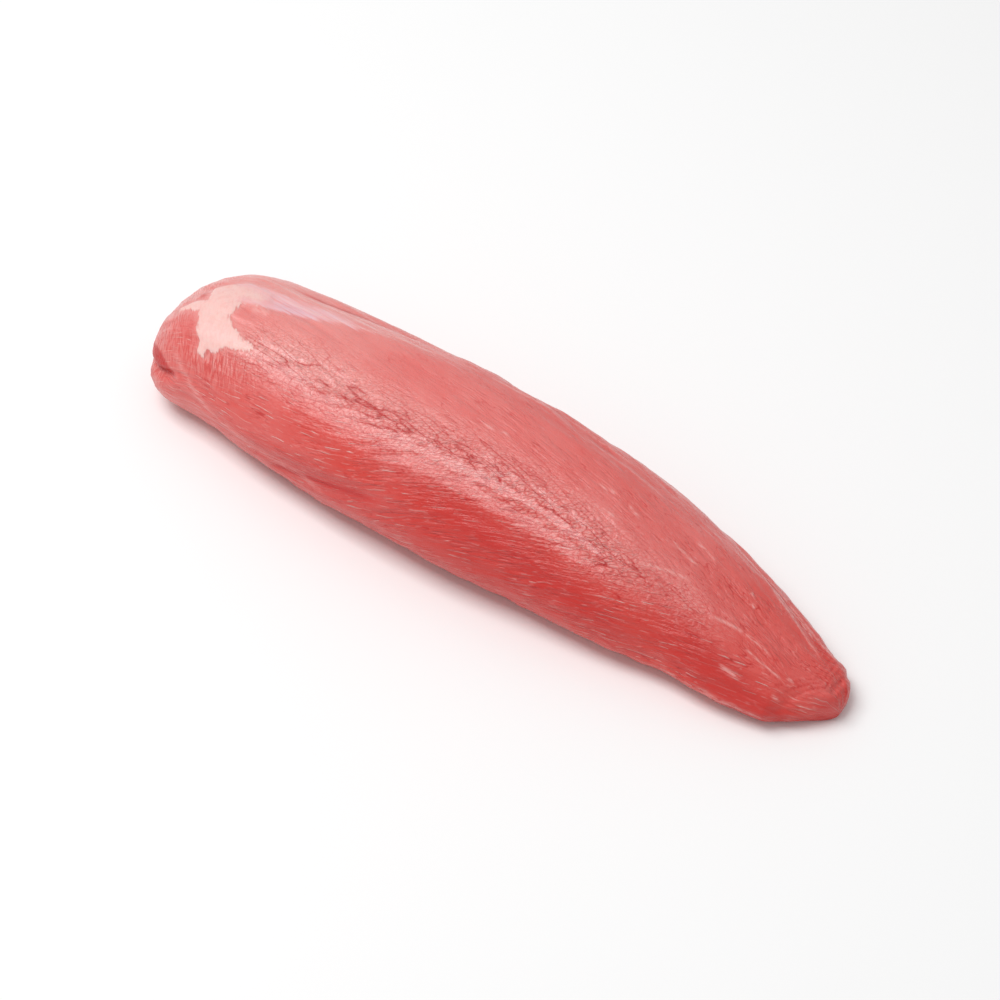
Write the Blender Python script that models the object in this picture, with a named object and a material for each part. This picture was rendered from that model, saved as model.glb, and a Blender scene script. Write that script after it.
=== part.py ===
"""Raw pork tenderloin, whole and trimmed, lying on its flat underside.

The muscle is one solid: a row of cross sections along a bowed centre line, from the thick head at -X to the
flattened tail at +X. +Y is the far flank, -Y the near flank, and the underside rests at Z = 0.
"""

import math
from dataclasses import dataclass

import bpy
import numpy as np

MM = 0.001

# Overall size
LENGTH = 280 * MM

# Number of sections along the length, how many of them shape each end, and the points round a section
RINGS = 98
CAP_RINGS = 12
POINTS = 54

# Share of each section's lower half that the meat's own weight presses flat
SINK = 0.17

# Roundness of a section: 2 is an ellipse, more is squarer
TOP_ROUNDNESS = 2.12
SIDE_ROUNDNESS = 2.2
UNDER_ROUNDNESS = 2.3


@dataclass(frozen=True)
class Station:
    """One measured cross section: its distance from the head's end, and its sizes, all in millimetres."""

    along: float
    width: float
    height: float
    widest_at: float
    bow: float
    lean: float


# From the head, over the belly, to the tail. widest_at is how high the widest line runs above the table,
# bow is the centre line's offset towards the far flank, and lean moves the crest that way.
STATIONS = (
    Station(along=0, width=58, height=37, widest_at=16, bow=0, lean=0),
    Station(along=28, width=61, height=42, widest_at=17, bow=3, lean=0),
    Station(along=61, width=67, height=44, widest_at=18, bow=1, lean=1),
    Station(along=104, width=71, height=46, widest_at=19, bow=0, lean=2),
    Station(along=140, width=71, height=45, widest_at=18, bow=0, lean=2),
    Station(along=170, width=67, height=42, widest_at=17, bow=0, lean=1),
    Station(along=197, width=63, height=37, widest_at=15, bow=0, lean=0),
    Station(along=218, width=56, height=31, widest_at=12, bow=0, lean=0),
    Station(along=240, width=49, height=23, widest_at=9, bow=-2, lean=0),
    Station(along=258, width=40, height=17, widest_at=7, bow=-4, lean=0),
    Station(along=268, width=33, height=14, widest_at=6, bow=-5, lean=0),
    Station(along=280, width=26, height=11, widest_at=5, bow=-5, lean=0),
)


@dataclass(frozen=True)
class EndCap:
    """How one end closes: the length over which each flank, the top and the underside round off, in millimetres."""

    near_length: float
    far_length: float
    top_length: float
    under_length: float
    near_roundness: float
    roundness: float


HEAD_CAP = EndCap(
    near_length=25, far_length=38, top_length=29, under_length=12, near_roundness=2.3, roundness=2.3
)
# The tail's near flank is cut off obliquely, so it is the least round
TAIL_CAP = EndCap(
    near_length=19, far_length=9, top_length=8, under_length=5, near_roundness=1.3, roundness=2.2
)


@dataclass(frozen=True)
class Groove:
    """A crease along the meat from one point to another, in millimetres and in degrees from the crest.

    Positive degrees lie on the near flank and negative ones on the far flank.
    """

    start: float
    end: float
    angle_at_start: float
    angle_at_end: float
    half_width: float
    depth: float


GROOVES = (
    # The seam between the main muscle and the side strip, along the far flank
    Groove(start=30, end=150, angle_at_start=-38, angle_at_end=-62, half_width=3.6, depth=1.5),
    Groove(start=120, end=182, angle_at_start=-44, angle_at_end=-66, half_width=3.4, depth=1.7),
    Groove(start=212, end=272, angle_at_start=-66, angle_at_end=-38, half_width=2.6, depth=1.2),
    # The short fold on the head's end
    Groove(start=0, end=24, angle_at_start=88, angle_at_end=73, half_width=2.2, depth=2.8),
    # The shallow crease low on the near flank
    Groove(start=66, end=118, angle_at_start=98, angle_at_end=74, half_width=4.0, depth=1.1),
)
# Share of a groove's length over which it starts and over which it runs out
GROOVE_LEAD_IN = 0.18
GROOVE_RUN_OUT = 0.30


@dataclass(frozen=True)
class Swell:
    """A soft bulge or hollow about one point: millimetres along and up, and degrees from the crest."""

    along: float
    angle: float
    half_length: float
    half_angle: float
    rise: float


SWELLS = (
    Swell(along=98, angle=58, half_length=46, half_angle=26, rise=1.3),
    Swell(along=58, angle=60, half_length=18, half_angle=22, rise=-0.9),
    Swell(along=150, angle=-15, half_length=30, half_angle=30, rise=0.8),
    Swell(along=190, angle=62, half_length=26, half_angle=20, rise=-1.0),
    Swell(along=236, angle=48, half_length=14, half_angle=26, rise=1.0),
    Swell(along=40, angle=-30, half_length=20, half_angle=24, rise=-0.8),
    # The lip under the head's fold
    Swell(along=8, angle=101, half_length=10, half_angle=12, rise=0.7),
)


@dataclass(frozen=True)
class Ripple:
    """A wave over the surface: millimetres along the meat for one radian of it, and its turns round a section."""

    length: float
    turns: float

    def at(self, along, angle):
        return np.sin(along / (self.length * MM) + self.turns * angle)


# The shallow groove that sets off the tail's rounded rim. It runs where the end has closed the section to
# this share, give or take the spread.
RIM_GROOVE_AT = 0.9
RIM_GROOVE_SPREAD = 0.07
RIM_GROOVE_DEPTH = 0.8

# The muscle bundles show as long low ridges. On the near flank they climb a little towards the tail.
BUNDLES_ROUND = 13
BUNDLE_RISE = 0.22
BUNDLE_CLIMB = 1.1
CLIMB_FROM, CLIMB_TO = 0.2, 1.4
BUNDLE_WANDER = 0.84
WANDER = Ripple(length=23, turns=2)
# The ridges come and go: their height varies by this share
BUNDLE_FADING = 0.4
FADING = Ripple(length=31, turns=3)
# Soft lumps, where two ripples cross
LUMP_RISE = 0.5
LUMPS = Ripple(length=13, turns=2.3)
LUMP_ROWS = Ripple(length=-41, turns=3)

# The relief starts this far above the table, in metres, and this far from the underside's middle, in radians
TABLE_CLEAR = (0.5 * MM, 7 * MM)
UNDERSIDE_CLEAR = (0.15, 0.6)
# It also fades where an end has closed the section to these shares
END_CLEAR = (0.05, 0.6)


def curve_through(places, values, at):
    """A smooth curve through the stations that never overshoots them (a monotone cubic)."""
    places = np.asarray(places, float)
    values = np.asarray(values, float)
    steps = np.diff(places)
    slopes = np.diff(values) / steps
    left, right = slopes[:-1], slopes[1:]
    same_way = left * right > 0
    weight_left = 2 * steps[1:] + steps[:-1]
    weight_right = steps[1:] + 2 * steps[:-1]
    safe_left = np.where(same_way, left, 1.0)
    safe_right = np.where(same_way, right, 1.0)
    mean = (weight_left + weight_right) / (weight_left / safe_left + weight_right / safe_right)
    tangents = np.concatenate([slopes[:1], np.where(same_way, mean, 0.0), slopes[-1:]])
    i = np.clip(np.searchsorted(places, at, side="right") - 1, 0, len(steps) - 1)
    t = (at - places[i]) / steps[i]
    rise = values[i + 1] - values[i]
    a, b = tangents[i] * steps[i], tangents[i + 1] * steps[i]
    return values[i] + a * t + (3 * rise - 2 * a - b) * t**2 + (a + b - 2 * rise) * t**3


def station_curve(name, along):
    """One of the stations' sizes, in metres, at these distances from the head's end."""
    places = [s.along for s in STATIONS]
    values = [getattr(s, name) for s in STATIONS]
    return curve_through(places, values, along / MM) * MM


def rounding(distance, reach, roundness):
    """0 at the very end and 1 from reach inwards, along a quarter of a rounded square."""
    inwards = np.clip(distance / (reach * MM), 0, 1)
    return (1 - (1 - inwards) ** roundness) ** (1 / roundness)


def caps(along, side, roundness="roundness"):
    """How far both ends have closed this side of the section at these distances."""
    head = rounding(along, getattr(HEAD_CAP, side), getattr(HEAD_CAP, roundness))
    tail = rounding(LENGTH - along, getattr(TAIL_CAP, side), getattr(TAIL_CAP, roundness))
    return head * tail


def signed_power(value, power):
    return np.sign(value) * np.abs(value) ** power


def fade(value, low, high):
    """A smooth step from 0 at low to 1 at high."""
    t = np.clip((value - low) / (high - low), 0, 1)
    return t * t * (3 - 2 * t)


def rim_groove(along, angle):
    """The groove inside the tail's rim, from 0 to 1: it turns from the top's closing to each flank's."""
    left = LENGTH - along
    top = rounding(left, TAIL_CAP.top_length, TAIL_CAP.roundness)
    near = rounding(left, TAIL_CAP.near_length, TAIL_CAP.near_roundness)
    far = rounding(left, TAIL_CAP.far_length, TAIL_CAP.roundness)
    sideways = np.sin(angle)
    closed = top + (near - top) * np.maximum(sideways, 0) + (far - top) * np.maximum(-sideways, 0)
    return np.exp(-(((closed - RIM_GROOVE_AT) / RIM_GROOVE_SPREAD) ** 2))


def relief(along, angle, girth_radius):
    """The height of creases, swells and muscle bundles above the plain form, in metres.

    along and girth_radius are in metres, and angle is in radians from the crest.
    """
    height = -RIM_GROOVE_DEPTH * rim_groove(along, angle)
    for g in GROOVES:
        share = (along / MM - g.start) / (g.end - g.start)
        path = np.radians(g.angle_at_start + (g.angle_at_end - g.angle_at_start) * np.clip(share, 0, 1))
        across = (angle - path) * girth_radius / MM
        lengthwise = fade(share, 0, GROOVE_LEAD_IN) * fade(1 - share, 0, GROOVE_RUN_OUT)
        height -= g.depth * np.exp(-((across / g.half_width) ** 2)) * lengthwise
    for s in SWELLS:
        u = (along / MM - s.along) / s.half_length
        v = (angle - math.radians(s.angle)) / math.radians(s.half_angle)
        height += s.rise * np.exp(-(u**2) - v**2)
    climbed = angle + BUNDLE_CLIMB * fade(angle, CLIMB_FROM, CLIMB_TO) * along / LENGTH
    bundles = np.sin(BUNDLES_ROUND * climbed + BUNDLE_WANDER * WANDER.at(along, angle))
    height += BUNDLE_RISE * bundles * (1 - BUNDLE_FADING + BUNDLE_FADING * FADING.at(along, angle))
    height += LUMP_RISE * LUMPS.at(along, angle) * LUMP_ROWS.at(along, angle)
    return height * MM


def surface(along, angle):
    """The surface's points at these distances from the head's end and these angles from the crest.

    Each section is a rounded square, its lower half cut level where the meat rests.
    """
    near = caps(along, "near_length", "near_roundness")
    flank = np.where(angle > 0, near, caps(along, "far_length"))
    half_width = station_curve("width", along) / 2 * flank
    middle = station_curve("widest_at", along)
    above = (station_curve("height", along) - middle) * caps(along, "top_length")
    below = middle * (1 + SINK) * caps(along, "under_length")
    sideways = signed_power(np.sin(angle), 2 / SIDE_ROUNDNESS)
    upper = np.abs(np.cos(angle)) ** (2 / TOP_ROUNDNESS)
    lower = np.abs(np.cos(angle)) ** (2 / UNDER_ROUNDNESS)
    rises = np.cos(angle) > 0
    lean = station_curve("lean", along) * upper * rises
    x = along - LENGTH / 2 + 0 * angle
    y = station_curve("bow", along) + lean - half_width * sideways
    z = middle + np.where(rises, above * upper, -below * lower)
    girth_radius = (half_width + above) / 2
    full = np.minimum(flank, caps(along, "top_length"))
    clear = fade(z, *TABLE_CLEAR) * fade(math.pi - np.abs(angle), *UNDERSIDE_CLEAR) * fade(full, *END_CLEAR)
    swell = relief(along, angle, girth_radius) * clear
    return np.stack([x, y - swell * np.sin(angle), np.maximum(z + swell * np.cos(angle), 0)], -1)


def section_places():
    """The distances of the sections: even along the body, closer together where the ends round off."""
    turn = (np.arange(CAP_RINGS) + 0.5) / CAP_RINGS * math.pi / 2
    head = HEAD_CAP.near_length * MM * (1 - np.cos(turn))
    tail = LENGTH - TAIL_CAP.near_length * MM * (1 - np.cos(turn[::-1]))
    body = np.linspace(head[-1], tail[0], RINGS - 2 * CAP_RINGS + 2)[1:-1]
    return np.concatenate([head, body, tail])


def tenderloin_mesh():
    """A closed skin: rings of points joined by quads, and a fan of triangles at each end."""
    round_once = np.linspace(-math.pi, math.pi, POINTS, endpoint=False)
    along, angle = np.meshgrid(section_places(), round_once, indexing="ij")
    rings = surface(along, angle)
    flank = math.pi / 2
    tips = surface(np.array([0.0, LENGTH]), np.array([flank, flank]))
    points = np.concatenate([rings.reshape(-1, 3), tips])
    # The frame's origin is under the middle of the part
    points[:, 1] -= (points[:, 1].min() + points[:, 1].max()) / 2
    head_tip, tail_tip = RINGS * POINTS, RINGS * POINTS + 1
    index = np.arange(RINGS * POINTS).reshape(RINGS, POINTS)
    beside = np.roll(index, -1, axis=1)
    quads = np.stack([index[:-1], beside[:-1], beside[1:], index[1:]], -1).reshape(-1, 4)
    head = [(head_tip, int(b), int(a)) for a, b in zip(index[0], beside[0])]
    tail = [(tail_tip, int(a), int(b)) for a, b in zip(index[-1], beside[-1])]
    mesh = bpy.data.meshes.new("tenderloin")
    mesh.from_pydata(points.tolist(), [], quads.tolist() + head + tail)
    mesh.validate()
    mesh.shade_smooth()
    return mesh


def meat_material():
    """Moist raw pork: pink-red, and a little glossy."""
    material = bpy.data.materials.new("raw_pork")
    material.use_nodes = True
    shader = material.node_tree.nodes["Principled BSDF"]
    shader.inputs["Base Color"].default_value = (0.66, 0.18, 0.17, 1)
    shader.inputs["Roughness"].default_value = 0.4
    shader.inputs["Metallic"].default_value = 0
    return material


def main():
    for old in list(bpy.data.objects):
        bpy.data.objects.remove(old)
    tenderloin = bpy.data.objects.new("tenderloin", tenderloin_mesh())
    tenderloin.data.materials.append(meat_material())
    bpy.context.scene.collection.objects.link(tenderloin)


main()
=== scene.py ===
"""Dresses the raw pork tenderloin: a fine skin of muscle fibres, fat and silverskin, in a plain studio.

Shapes are worked out in millimetres and turned into metres when a mesh is made.
"""

from __future__ import annotations

import itertools
import logging
import math
from dataclasses import dataclass, field
from enum import Enum
from typing import Any

import bpy
import numpy as np
from mathutils import Matrix, Vector


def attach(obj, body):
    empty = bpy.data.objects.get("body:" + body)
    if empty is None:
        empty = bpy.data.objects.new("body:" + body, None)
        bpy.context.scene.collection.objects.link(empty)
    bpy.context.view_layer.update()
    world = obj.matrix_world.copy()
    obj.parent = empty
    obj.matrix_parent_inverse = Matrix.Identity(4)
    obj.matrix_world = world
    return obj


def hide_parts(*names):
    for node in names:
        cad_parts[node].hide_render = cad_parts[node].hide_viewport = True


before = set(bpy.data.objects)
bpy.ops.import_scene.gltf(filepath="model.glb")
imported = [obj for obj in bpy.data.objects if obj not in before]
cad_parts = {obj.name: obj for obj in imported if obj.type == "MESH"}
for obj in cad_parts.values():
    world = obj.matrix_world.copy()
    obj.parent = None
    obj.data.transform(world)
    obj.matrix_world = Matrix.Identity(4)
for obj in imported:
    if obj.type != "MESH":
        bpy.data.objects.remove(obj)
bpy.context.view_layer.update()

log = logging.getLogger("tenderloin")

MM = 0.001
NODE = "tenderloin"
Array = np.ndarray
Pair = tuple[float, float]
Triple = tuple[float, float, float]
Colour = Triple


class Flank(Enum):
    """The two long sides of the meat: the near one faces -Y, the far one +Y."""

    NEAR = 1
    FAR = -1


def fade(value: Array, low: float, high: float) -> Array:
    """A smooth step: 3t^2 - 2t^3, where t runs from 0 at low to 1 at high.

    Args:
        value: Where to read the step.
        low: The value at which it leaves 0.
        high: The value at which it reaches 1, which may be the smaller one.

    Returns:
        The step's heights, from 0 to 1.
    """
    t = np.clip((value - low) / (high - low), 0, 1)
    return t * t * (3 - 2 * t)


def hill(value: Array, middle: float | Array, half_width: float | Array) -> Array:
    """A soft hill of height 1: e to the power of minus ((value - middle) / half_width) squared."""
    return np.exp(-(((value - middle) / half_width) ** 2))


def span(value: Array, rise: Pair, fall: Pair) -> Array:
    """A smooth plateau of height 1: a step up over one stretch, times a step down over another.

    Args:
        value: Where to read it.
        rise: The values at which it leaves 0 and reaches 1.
        fall: The values at which it leaves 1 and reaches 0.

    Returns:
        The plateau's heights, from 0 to 1.
    """
    return fade(value, *rise) * fade(value, fall[1], fall[0])


def by_side(angle: Array, top: Any, near: Any, far: Any) -> Array:
    """A value that turns from the crest's into each flank's, in step with the sine of the angle."""
    sideways = np.sin(angle)
    return top + (near - top) * np.maximum(sideways, 0) + (far - top) * np.maximum(-sideways, 0)


def signed_power(value: Array, power: float) -> Array:
    """A power that keeps the value's sign."""
    return np.sign(value) * np.abs(value) ** power


class GradientNoise:
    """Smooth noise in space, which is 0 at the corners of a grid and slopes its own way at each."""

    TABLE = 256
    GAIN = 1.6
    LAYER_SHIFT = 17.0

    def __init__(self, seed: int) -> None:
        """Draws the order of the corners and their slopes.

        Args:
            seed: Fixes the draw, so that every run gives the same noise.
        """
        draw = np.random.default_rng(seed)
        self.order = np.tile(draw.permutation(self.TABLE), 2)
        slopes = draw.normal(size=(self.TABLE, 3))
        self.slopes = slopes / np.linalg.norm(slopes, axis=1, keepdims=True)

    def at(self, points: Array, cell: Triple) -> Array:
        """The noise at some points: the slopes of the 8 corners round each, blended by 6t^5 - 15t^4 + 10t^3.

        Args:
            points: Places in millimetres, with X, Y and Z on the last axis.
            cell: The grid's spacing along X, Y and Z, in millimetres.

        Returns:
            Values from about -1 to 1.
        """
        places = points / np.array(cell)
        low = np.floor(places).astype(int)
        t = places - low
        blend = t**3 * (t * (6 * t - 15) + 10)
        total = np.zeros(points.shape[:-1])
        for corner in itertools.product((0, 1), repeat=3):
            x, y, z = np.moveaxis((low + corner) % self.TABLE, -1, 0)
            slope = self.slopes[self.order[self.order[self.order[x] + y] + z]]
            share = np.where(corner, blend, 1 - blend).prod(-1)
            total += share * ((t - corner) * slope).sum(-1)
        return total * self.GAIN

    def layered(self, points: Array, cell: Triple, layers: int) -> Array:
        """Several layers of the noise, each half as large and half as strong as the one before."""
        total = np.zeros(points.shape[:-1])
        for layer in range(layers):
            size = tuple(side / 2**layer for side in cell)
            total += self.at(points + self.LAYER_SHIFT * layer, size) / 2**layer
        return total


@dataclass(frozen=True)
class Station:
    """One cross section of the meat: its distance from the head's end, and its sizes, in millimetres."""

    along: float
    width: float
    height: float
    widest_at: float
    bow: float
    lean: float


@dataclass(frozen=True)
class EndCap:
    """How one end closes: the length over which each side of the section rounds off, in millimetres."""

    near_length: float
    far_length: float
    top_length: float
    under_length: float
    near_roundness: float
    roundness: float

    def closing(self, distance: Array, side: str, roundness: str = "roundness") -> Array:
        """How far the end has closed one side of the section: (1 - (1 - t)^p)^(1/p).

        Args:
            distance: Distances from the very end, which t counts in the side's length.
            side: The field that holds the side's length.
            roundness: The field that holds the power p.

        Returns:
            0 at the very end, and 1 clear of it.
        """
        inwards = np.clip(distance / getattr(self, side), 0, 1)
        power = getattr(self, roundness)
        return (1 - (1 - inwards) ** power) ** (1 / power)


@dataclass(frozen=True)
class Groove:
    """A crease from one point to another: millimetres along and across, and degrees from the crest."""

    start: float
    end: float
    angle_at_start: float
    angle_at_end: float
    half_width: float
    depth: float
    lead_in: float = 0.18
    run_out: float = 0.30

    def reach(self, along: Array, angle: Array, girth_radius: Array) -> tuple[Array, Array]:
        """How far points lie across the groove's line, and how much of it shows there, from 0 to 1."""
        share = (along - self.start) / (self.end - self.start)
        turned = (self.angle_at_end - self.angle_at_start) * np.clip(share, 0, 1)
        across = (angle - np.radians(self.angle_at_start + turned)) * girth_radius
        return across, span(share, (0, self.lead_in), (1 - self.run_out, 1))


@dataclass(frozen=True)
class Swell:
    """A soft bulge or hollow about one point: millimetres along and up, and degrees from the crest."""

    along: float
    angle: float
    half_length: float
    half_angle: float
    rise: float


@dataclass(frozen=True)
class Ripple:
    """A wave over the surface: millimetres along the meat for one radian, and its turns round a section."""

    length: float
    turns: float

    def at(self, along: Array, angle: Array) -> Array:
        """The wave's height, from -1 to 1: the sine of along / length + turns x angle."""
        return np.sin(along / self.length + self.turns * angle)


@dataclass(frozen=True)
class MuscleForm:
    """The muscle's large form, the same as the solid's: rounded sections along a bowed centre line."""

    length: float = 280
    sink: float = 0.17
    top_roundness: float = 2.12
    side_roundness: float = 2.2
    under_roundness: float = 2.3
    stations: tuple[Station, ...] = (
        Station(0, 58, 37, widest_at=16, bow=0, lean=0),
        Station(28, 61, 42, widest_at=17, bow=3, lean=0),
        Station(61, 67, 44, widest_at=18, bow=1, lean=1),
        Station(104, 71, 46, widest_at=19, bow=0, lean=2),
        Station(140, 71, 45, widest_at=18, bow=0, lean=2),
        Station(170, 67, 42, widest_at=17, bow=0, lean=1),
        Station(197, 63, 37, widest_at=15, bow=0, lean=0),
        Station(218, 56, 31, widest_at=12, bow=0, lean=0),
        Station(240, 49, 23, widest_at=9, bow=-2, lean=0),
        Station(258, 40, 17, widest_at=7, bow=-4, lean=0),
        Station(268, 33, 14, widest_at=6, bow=-5, lean=0),
        Station(280, 26, 11, widest_at=5, bow=-5, lean=0),
    )
    head: EndCap = EndCap(25, 38, 29, 12, near_roundness=2.3, roundness=2.3)
    tail: EndCap = EndCap(19, 9, 8, 5, near_roundness=1.3, roundness=2.2)
    grooves: tuple[Groove, ...] = (
        Groove(30, 150, -38, -62, half_width=3.6, depth=1.5),
        Groove(120, 182, -44, -66, half_width=3.4, depth=1.7),
        Groove(212, 272, -66, -38, half_width=2.6, depth=1.2),
        Groove(0, 24, 88, 73, half_width=2.2, depth=2.8),
        Groove(66, 118, 98, 74, half_width=4.0, depth=1.1),
    )
    seam_share: float = 0.3
    swells: tuple[Swell, ...] = (
        Swell(98, 58, half_length=46, half_angle=26, rise=1.3),
        Swell(58, 60, half_length=18, half_angle=22, rise=-0.9),
        Swell(150, -15, half_length=30, half_angle=30, rise=0.8),
        Swell(190, 62, half_length=26, half_angle=20, rise=-1.0),
        Swell(236, 48, half_length=14, half_angle=26, rise=1.0),
        Swell(40, -30, half_length=20, half_angle=24, rise=-0.8),
        Swell(8, 101, half_length=10, half_angle=12, rise=0.7),
    )
    rim_groove_at: float = 0.9
    rim_groove_spread: float = 0.07
    rim_groove_depth: float = 0.8
    bundles_round: int = 13
    bundle_rise: float = 0.22
    bundle_climb: float = 1.1
    climb_angles: Pair = (0.2, 1.4)
    bundle_wander: float = 0.84
    wander: Ripple = Ripple(length=23, turns=2)
    bundle_fading: float = 0.4
    fading: Ripple = Ripple(length=31, turns=3)
    lump_rise: float = 0.5
    lumps: Ripple = Ripple(length=13, turns=2.3)
    lump_rows: Ripple = Ripple(length=-41, turns=3)
    table_clear: Pair = (0.5, 7)
    underside_clear: Pair = (0.15, 0.6)
    end_clear: Pair = (0.05, 0.6)

    def curve(self, name: str, along: Array) -> Array:
        """One of the stations' sizes along the meat, as a monotone cubic through the stations.

        Args:
            name: The size's field in Station.
            along: Distances from the head's end.

        Returns:
            The size at each distance.
        """
        places = np.array([s.along for s in self.stations], float)
        values = np.array([getattr(s, name) for s in self.stations], float)
        steps = np.diff(places)
        slopes = np.diff(values) / steps
        left, right = slopes[:-1], slopes[1:]
        same_way = left * right > 0
        weight_left = 2 * steps[1:] + steps[:-1]
        weight_right = steps[1:] + 2 * steps[:-1]
        safe_left = np.where(same_way, left, 1.0)
        safe_right = np.where(same_way, right, 1.0)
        mean = (weight_left + weight_right) / (weight_left / safe_left + weight_right / safe_right)
        tangents = np.concatenate([slopes[:1], np.where(same_way, mean, 0.0), slopes[-1:]])
        i = np.clip(np.searchsorted(places, along, side="right") - 1, 0, len(steps) - 1)
        t = (along - places[i]) / steps[i]
        rise = values[i + 1] - values[i]
        a, b = tangents[i] * steps[i], tangents[i + 1] * steps[i]
        return values[i] + a * t + (3 * rise - 2 * a - b) * t**2 + (a + b - 2 * rise) * t**3

    def caps(self, along: Array, side: str, roundness: str = "roundness") -> Array:
        """How far both ends have closed one side of the section.

        Args:
            along: Distances from the head's end.
            side: The side's length field in EndCap.
            roundness: The field that holds the closing's power.

        Returns:
            0 at the very ends, and 1 clear of them.
        """
        head = self.head.closing(along, side, roundness)
        return head * self.tail.closing(self.length - along, side, roundness)

    def rim_groove(self, along: Array, angle: Array) -> Array:
        """The groove inside the tail's rim, from 0 to 1: it turns from the top's closing to each flank's."""
        left = self.length - along
        top = self.tail.closing(left, "top_length")
        near = self.tail.closing(left, "near_length", "near_roundness")
        far = self.tail.closing(left, "far_length")
        return hill(by_side(angle, top, near, far), self.rim_groove_at, self.rim_groove_spread)

    def relief(self, along: Array, angle: Array, girth_radius: Array) -> Array:
        """The height of creases, swells and muscle bundles above the plain form.

        Args:
            along: Distances from the head's end.
            angle: Angles from the crest, in radians, positive on the near flank.
            girth_radius: The section's mean radius.

        Returns:
            Heights in millimetres: hills for swells, negative hills across each groove's line, and sines for
            the bundles and the lumps.
        """
        height = -self.rim_groove_depth * self.rim_groove(along, angle)
        for g in self.grooves:
            across, shows = g.reach(along, angle, girth_radius)
            height -= g.depth * hill(across, 0, g.half_width) * shows
        for s in self.swells:
            spread = hill(along, s.along, s.half_length)
            height += s.rise * spread * hill(angle, math.radians(s.angle), math.radians(s.half_angle))
        climbed = angle + self.bundle_climb * fade(angle, *self.climb_angles) * along / self.length
        bundles = np.sin(self.bundles_round * climbed + self.bundle_wander * self.wander.at(along, angle))
        strength = 1 - self.bundle_fading + self.bundle_fading * self.fading.at(along, angle)
        height += self.bundle_rise * bundles * strength
        return height + self.lump_rise * self.lumps.at(along, angle) * self.lump_rows.at(along, angle)

    def seams(self, along: Array, angle: Array, girth_radius: Array) -> Array:
        """The thin dark line at the bottom of each groove, from 0 to 1: a narrow hill across it."""
        lines = np.zeros_like(along)
        for g in self.grooves:
            across, shows = g.reach(along, angle, girth_radius)
            lines = np.maximum(lines, hill(across, 0, g.half_width * self.seam_share) * shows)
        return lines

    def surface(self, along: Array, angle: Array) -> Array:
        """The form's points: y = bow - w sin(a)^p and z = middle + h cos(a)^q, cut level below.

        Args:
            along: Distances from the head's end.
            angle: Angles from the crest, in radians.

        Returns:
            Points in millimetres, with X, Y and Z on the last axis.
        """
        near = self.caps(along, "near_length", "near_roundness")
        flank = np.where(angle > 0, near, self.caps(along, "far_length"))
        half_width = self.curve("width", along) / 2 * flank
        middle = self.curve("widest_at", along)
        above = (self.curve("height", along) - middle) * self.caps(along, "top_length")
        below = middle * (1 + self.sink) * self.caps(along, "under_length")
        sideways = signed_power(np.sin(angle), 2 / self.side_roundness)
        upper = np.abs(np.cos(angle)) ** (2 / self.top_roundness)
        lower = np.abs(np.cos(angle)) ** (2 / self.under_roundness)
        rises = np.cos(angle) > 0
        lean = self.curve("lean", along) * upper * rises
        x = along - self.length / 2 + 0 * angle
        y = self.curve("bow", along) + lean - half_width * sideways
        z = middle + np.where(rises, above * upper, -below * lower)
        full = np.minimum(flank, self.caps(along, "top_length"))
        clear = fade(z, *self.table_clear) * fade(math.pi - np.abs(angle), *self.underside_clear)
        clear = clear * fade(full, *self.end_clear)
        swell = self.relief(along, angle, (half_width + above) / 2) * clear
        return np.stack([x, y - swell * np.sin(angle), np.maximum(z + swell * np.cos(angle), 0)], -1)


@dataclass(frozen=True)
class SkinGrid:
    """The rows and columns of the skin: closer where the ends round off and where the meat faces up."""

    rows: int = 436
    head_rows: int = 60
    tail_rows: int = 44
    head_reach: float = 30
    tail_reach: float = 20
    top_columns: int = 180
    under_columns: int = 44
    top_angle: float = math.radians(112)

    def places(self, length: float) -> Array:
        """The rows' distances from the head's end: reach x (1 - cosine) at the ends, even between them."""
        head, tail = (
            reach * (1 - np.cos((np.arange(rows) + 0.5) / rows * math.pi / 2))
            for rows, reach in ((self.head_rows, self.head_reach), (self.tail_rows, self.tail_reach))
        )
        tail = length - tail[::-1]
        between = self.rows - self.head_rows - self.tail_rows
        body = np.linspace(head[-1], tail[0], between + 2)[1:-1]
        return np.concatenate([head, body, tail])

    def angles(self) -> Array:
        """The columns' angles from the crest: even over the top, and wider apart over the underside."""
        half_under = self.under_columns // 2
        far = np.linspace(-math.pi, -self.top_angle, half_under, endpoint=False)
        top = np.linspace(-self.top_angle, self.top_angle, self.top_columns, endpoint=False)
        near = np.linspace(self.top_angle, math.pi, half_under, endpoint=False)
        return np.concatenate([far, top, near])


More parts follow.
